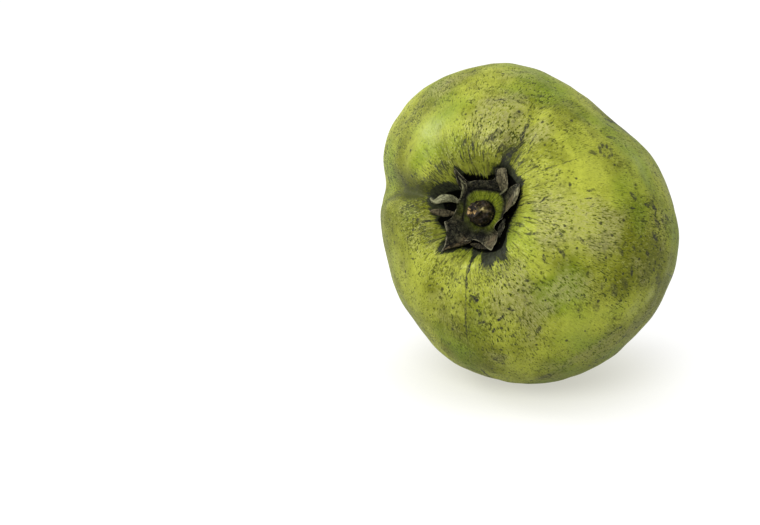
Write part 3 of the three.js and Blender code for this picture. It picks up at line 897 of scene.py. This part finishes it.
for name, places in (("shade_and_stain_dark", FACE_PAINTED_SHADE), ("green", FACE_GREEN)):
    for *place, strength in places:
        plate_marks[name] = np.maximum(plate_marks[name], strength * near_on_face(*place))
plate_marks.update(
    pale=sum(pale * near_on_face(x, y, size) for x, y, size, pale, warm in FACE_PATCHES),
    warm=sum(warm * near_on_face(x, y, size) for x, y, size, pale, warm in FACE_PATCHES),
)
for corners, bow, lean, pale, warm in CURLS:
    rings, marks, fan = curl(corners, bow, lean)
    flat = np.ones(rings.shape[:-1])
    calyx_rings.append(rings)
    calyx_fans.append(fan + (0, len(calyx_rings), 0))
    pale_there = pale * (1 - 0.35 * marks["worn"]) * flat
    calyx_marks.append({**marks, "pale": pale_there, "warm": warm * flat})
calyx = add_piece(
    "calyx_leaf", [shell(rings @ AXES + SHIFT) for rings in calyx_rings], "calyx"
)
for name in ("worn", "green", "shade_and_stain_dark", "pale", "warm"):
    store(calyx, name, np.concatenate([
        per_point(marks.get(name, 0) + np.zeros(rings.shape[:-1]))
        for marks, rings in zip(calyx_marks, calyx_rings)
    ]))
store(calyx, "fan", np.concatenate([per_point(fan) for fan in calyx_fans]))


def leaf_material():
    """Dark grey-brown dried leaf with fibres: paler or warmer in places, with near black painted shade
    in its grooves and hollows, dark creases of painted shade, pale ridges of painted highlight, broken
    pale edges and a green disc."""
    made, tree, surface = new_material("dried leaf")
    where = put(tree, "TexCoord").outputs["Object"]
    fan = read(tree, "fan", "Vector")
    times, plus = arithmetic(tree)
    fibres = use(tree, STREAKS, Vector=fan, Around=22, Along=3, Low=0.48, High=0.55)
    # Pale pieces are smoother.
    firm = math_of(tree, "MULTIPLY_ADD", read(tree, "pale"), -0.6, 1.0, clamp=True)
    clouds, grit = noise(tree, where, 420, 4, 0.65), noise(tree, where, 1300, 3, 0.6)
    # Creases, darkened as painted shade, and fine ridges, lightened as painted highlights, lie where
    # two cloudy noises cross their middle.
    wrinkles = noise(tree, where, 330, 3, 0.55)
    from_middle = math_of(tree, "ABSOLUTE", math_of(tree, "SUBTRACT", wrinkles, 0.5))
    shaded_creases = step(tree, from_middle, 0.045, 0.005)
    ridges = noise(tree, where, 390, 3, 0.55)
    from_middle = math_of(tree, "ABSOLUTE", math_of(tree, "SUBTRACT", ridges, 0.47))
    ridges = step(tree, from_middle, 0.03, 0.0)
    pale = math_of(tree, "MULTIPLY_ADD", clouds, 0.9, plus(read(tree, "pale"), -0.45))
    pale = step(tree, pale, 0.0, 1.0)
    leaf = mixed(tree, step(tree, clouds, 0.38, 0.62), tone(34, 34, 25), tone(72, 72, 56))
    light = mixed(tree, read(tree, "warm"), tone(184, 186, 142), tone(172, 156, 122))
    colour = mixed(tree, pale, leaf, light)
    colour = mixed(tree, times(read(tree, "warm"), 0.28), colour, tone(88, 66, 36))
    colour = mixed(tree, times(fibres["Mask"], 0.5), colour, tone(22, 20, 14))
    spots = step(tree, grit, 0.54, 0.66)
    colour = mixed(tree, times(spots, 0.5), colour, tone(104, 100, 76))
    colour = mixed(tree, times(ridges, 0.5), colour, tone(124, 118, 90))
    colour = mixed(tree, times(shaded_creases, firm), colour, tone(10, 9, 7))
    disc = mixed(tree, fibres["Mask"], tone(116, 130, 28), tone(164, 178, 48))
    blotch = step(tree, noise(tree, where, 260, 3), 0.42, 0.62)
    disc = mixed(tree, times(blotch, 0.5), disc, tone(62, 68, 22))
    disc = mixed(tree, times(spots, 0.25), disc, tone(168, 172, 110))
    colour = mixed(tree, read(tree, "green"), colour, disc)
    # Near black painted shade in the well, the groove and the hollows of the face.
    colour = mixed(tree, read(tree, "shade_and_stain_dark"), colour, tone(6, 6, 4))
    edge = times(read(tree, "worn"), step(tree, clouds, 0.42, 0.56))
    colour = mixed(tree, edge, colour, tone(176, 170, 140))
    feed(tree, surface["Base Color"], colour)
    surface["Roughness"].default_value = 0.55
    surface["Specular IOR Level"].default_value = 0.2
    height = plus(fibres["Grain"], plus(clouds, grit))
    height = math_of(tree, "SUBTRACT", height, times(shaded_creases, 0.5))
    bump = put(tree, "Bump", Height=height, Distance=0.0012, Strength=1.0)
    feed(tree, surface["Normal"], bump.outputs[0])
    return made


calyx.data.materials.append(leaf_material())

# The stem stub: what is left of the fruit's woody stalk, a dark knob with a tan cut tip. It grew
# as one with the calyx, and stands in the well in the middle of the calyx's disc.
STUB_HEIGHT = 8.2 * MM
STUB_LEAN = (-0.9 * MM, -0.7 * MM)
STUB_OFF = (0.1 * MM, 0.45 * MM)
STUB_FOOT = 3.7 * MM  # from the middle of the CAD stub down to the foot
STUB_ALONG, STUB_ROUND = 72, 96
stub_low, stub_high = (np.array(corner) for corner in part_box("stem_stub"))
# Height share and radius in mm, from the middle of the foot up the side to the cut face.
STUB_PROFILE = (
    (0.0, 0.05), (0.0, 3.2), (0.06, 3.6), (0.2, 3.9), (0.4, 3.9), (0.58, 3.5), (0.72, 2.8),
    (0.82, 2.35), (0.93, 2.3), (1.0, 2.0), (1.0, 1.2), (0.97, 0.05),
)
stub_turn = np.linspace(0, 2 * math.pi, STUB_ROUND, endpoint=False)


def stub_rings(turn):
    """The profile turned round the stem, leaning over as it rises, with fibres round it."""
    profile = open_spine(STUB_PROFILE, STUB_ALONG)
    height = profile[:, :1] * STUB_HEIGHT
    ridges = 0.03 * np.sin(11 * turn) + 0.02 * np.sin(23 * turn + 1) + 0.02 * np.sin(5 * turn + 2)
    radius = profile[:, 1:] * MM * (1 + ridges * (profile[:, :1] > 0.05))
    lean = (height / STUB_HEIGHT) ** 1.5
    x = radius * np.cos(turn) + STUB_OFF[0] + STUB_LEAN[0] * lean
    y = radius * np.sin(turn) + STUB_OFF[1] + STUB_LEAN[1] * lean
    foot = (((stub_low + stub_high) / 2 - SHIFT) @ AXES.T)[2] - STUB_FOOT
    points = np.stack([x, y, height + foot + 0 * x], -1)
    lumps = uneven(points, 1.6 * MM, 5)[..., None] * 0.32 * MM * (profile[:, :1] > 0.3)[..., None]
    return points + lumps * (0.6, 0.6, 1), profile[:, :1] + 0 * turn, radius


stub, stub_share, stub_radius = stub_rings(stub_turn)
stub_piece = add_piece("stem_knob", [shell(stub @ AXES + SHIFT)], "stem_stub")
cut_edge = 2.0 - 0.7 * np.maximum(0, np.cos(stub_turn)) ** 2 + 0.2 * np.sin(3 * stub_turn + 1)
cut_edge *= MM
cut = (stub_share > 0.9) * np.clip((cut_edge - stub_radius) / (0.3 * MM), 0, 1)
store(stub_piece, "cut", per_point(cut))
# Bark is torn away in a streak down the right side.
torn = np.exp(-(((stub_turn - 0.35) / 0.22) ** 2))
torn = torn * np.exp(-(((stub_share - 0.78) / 0.16) ** 2))
store(stub_piece, "torn", per_point(torn))
store(stub_piece, "meridian", per_point(np.stack([
    np.cos(stub_turn) + 0 * stub_share, np.sin(stub_turn) + 0 * stub_share, stub_share
], -1)))


def wood_material():
    """Near-black bark with fibres, a few pale, and rough tan wood on the broken end."""
    made, tree, surface = new_material("stem wood")
    where = put(tree, "TexCoord").outputs["Object"]
    meridian = read(tree, "meridian", "Vector")
    times, plus = arithmetic(tree)
    fibres = use(tree, STREAKS, Vector=meridian, Around=5, Along=3, Low=0.42, High=0.62)
    colour = mixed(tree, fibres["Mask"], tone(16, 14, 10), tone(66, 54, 38))
    bare = use(tree, STREAKS, Vector=meridian, Around=3.1, Along=2.2, Low=0.60, High=0.66)
    bare = math_of(tree, "MAXIMUM", times(bare["Mask"], 0.35), read(tree, "torn"))
    colour = mixed(tree, bare, colour, tone(200, 184, 124))
    pores = noise(tree, where, 1100, 3, 0.6)
    wood = mixed(tree, step(tree, pores, 0.42, 0.58), tone(62, 48, 28), tone(198, 164, 106))
    cracks = step(tree, noise(tree, where, 520, 2), 0.44, 0.50)
    wood = mixed(tree, cracks, tone(24, 19, 12), wood)
    ragged = math_of(tree, "MULTIPLY_ADD", plus(pores, -0.5), 1.6, read(tree, "cut"))
    colour = mixed(tree, step(tree, ragged, 0.35, 0.55), colour, wood)
    feed(tree, surface["Base Color"], colour)
    surface["Roughness"].default_value = 0.5
    surface["Specular IOR Level"].default_value = 0.25
    height = plus(fibres["Grain"], times(pores, 0.6))
    bump = put(tree, "Bump", Height=height, Distance=0.0006, Strength=0.8)
    feed(tree, surface["Normal"], bump.outputs[0])
    return made


stub_piece.data.materials.append(wood_material())

# The stage: a plain pale floor with a painted shadow round the fruit that fades to white, two round
# soft lamps under an even white sky, and the camera, level from side to side and looking down a little.
FLOOR_HALF = 3.0
floor_corners = [(FLOOR_HALF * x, FLOOR_HALF * y, 0) for x, y in ((-1, -1), (1, -1), (1, 1), (-1, 1))]
floor_mesh = bpy.data.meshes.new("floor")
floor_mesh.from_pydata(floor_corners, [], [(0, 1, 2, 3)])
floor = bpy.data.objects.new("floor", floor_mesh)
bpy.context.scene.collection.objects.link(floor)


def sight(tree):
    """1 for rays that see the surface straight, in a gloss or through glass, and 0 for light."""
    path = put(tree, "LightPath").outputs
    seen = math_of(tree, "MAXIMUM", path["Is Camera Ray"], path["Is Glossy Ray"])
    return math_of(tree, "MAXIMUM", seen, path["Is Transmission Ray"])


# To the eye the floor is mostly its own even white, so that shadows on it stay light; near the fruit it
# glows less and warmer, a painted contact shadow. To the light that it sends back onto the fruit it is
# a plain pale floor.
floor_material, tree, surface = new_material("pale floor")
seen = sight(tree)
FLOOR_TONE, SEEN_TONE = (0.55, 0.55, 0.53, 1), (0.30, 0.30, 0.285, 1)
feed(tree, surface["Base Color"], mixed(tree, seen, FLOOR_TONE, SEEN_TONE))
surface["Roughness"].default_value = 0.9
surface["Specular IOR Level"].default_value = 0.05
place = put(tree, "TexCoord").outputs["Object"]
clear_of_painted_shadow = step(tree, vector_of(tree, "LENGTH", place)["Value"], 0.012, 0.07)
feed(tree, surface["Emission Color"], mixed(tree, clear_of_painted_shadow, (1, 0.99, 0.88, 1), (1, 1, 1, 1)))
glow = math_of(tree, "MULTIPLY", seen, blend(tree, clear_of_painted_shadow, 0.56, 0.88))
feed(tree, surface["Emission Strength"], glow)
floor_mesh.materials.append(floor_material)

world = bpy.data.worlds.new("studio")
bpy.context.scene.world = world
world.use_nodes = True
backdrop = world.node_tree.nodes["Background"].inputs
backdrop["Color"].default_value = (1, 1, 1, 1)
WORLD_LIGHT = 0.31
feed(world.node_tree, backdrop["Strength"], math_of(
    world.node_tree, "MULTIPLY_ADD", sight(world.node_tree), 1 - WORLD_LIGHT, WORLD_LIGHT
))


def add_lamp(name, place, size, watts):
    """A round soft lamp that faces the fruit."""
    lamp = bpy.data.objects.new(name, bpy.data.lights.new(name, "AREA"))
    lamp.data.shape = "DISK"
    lamp.data.size = size
    lamp.data.energy = watts
    lamp.location = place
    facing = Vector((0, 0, cad_high.z / 2)) - lamp.location
    lamp.rotation_euler = facing.to_track_quat("-Z", "Y").to_euler()
    bpy.context.scene.collection.objects.link(lamp)


add_lamp("key_lamp", (-0.30, -0.80, 0.75), 0.65, 8.4)
add_lamp("side_lamp", (-0.80, 0.28, 0.65), 0.40, 3.5)

CAMERA_RISE, CAMERA_DISTANCE = math.radians(17), 0.632
AIM_FROM_MIDDLE = Vector((-0.0508, 0.0106, -0.0168))
camera = bpy.data.objects.new("camera", bpy.data.cameras.new("camera"))
camera.data.lens = 85
camera.data.sensor_width = 36
aim = (cad_low + cad_high) / 2 + AIM_FROM_MIDDLE
back = Vector((0, -math.cos(CAMERA_RISE), math.sin(CAMERA_RISE)))
camera.location = aim + CAMERA_DISTANCE * back
camera.rotation_euler = (math.pi / 2 - CAMERA_RISE, 0, 0)
bpy.context.scene.collection.objects.link(camera)
bpy.context.scene.camera = camera
bpy.context.scene.view_settings.view_transform = "Standard"
